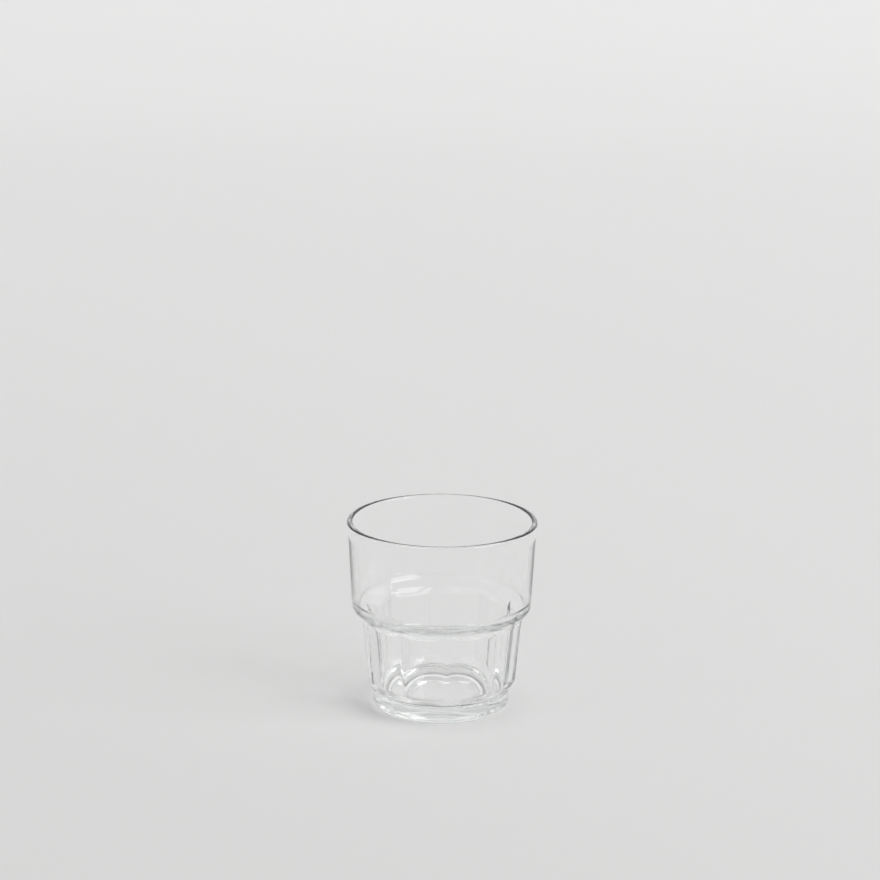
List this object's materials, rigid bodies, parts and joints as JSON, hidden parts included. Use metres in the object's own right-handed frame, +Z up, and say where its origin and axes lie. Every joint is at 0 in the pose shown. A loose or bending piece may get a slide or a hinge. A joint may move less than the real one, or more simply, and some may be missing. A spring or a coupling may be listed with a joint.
{
  "type": "stackable glass tumbler",
  "caption": "Short clear-glass tumbler for small coffee drinks, with a smooth upper band, a stacking shoulder, a flat-panelled body and a thick round foot.",
  "frame": {"origin": "centre of the standing ring, on the plane that the glass stands on", "axes": "+Z up along the glass's axis, towards the rim; -Y towards the camera within about 10 degrees, +X to the picture's right"},
  "size_m": [0.072, 0.072, 0.073],
  "materials": {
    "clear_glass": "fire-polished clear pressed glass with a faint grey-green tint"
  },
  "bodies": {
    "root": {"tumbler": "clear_glass"}
  },
  "joints": []
}
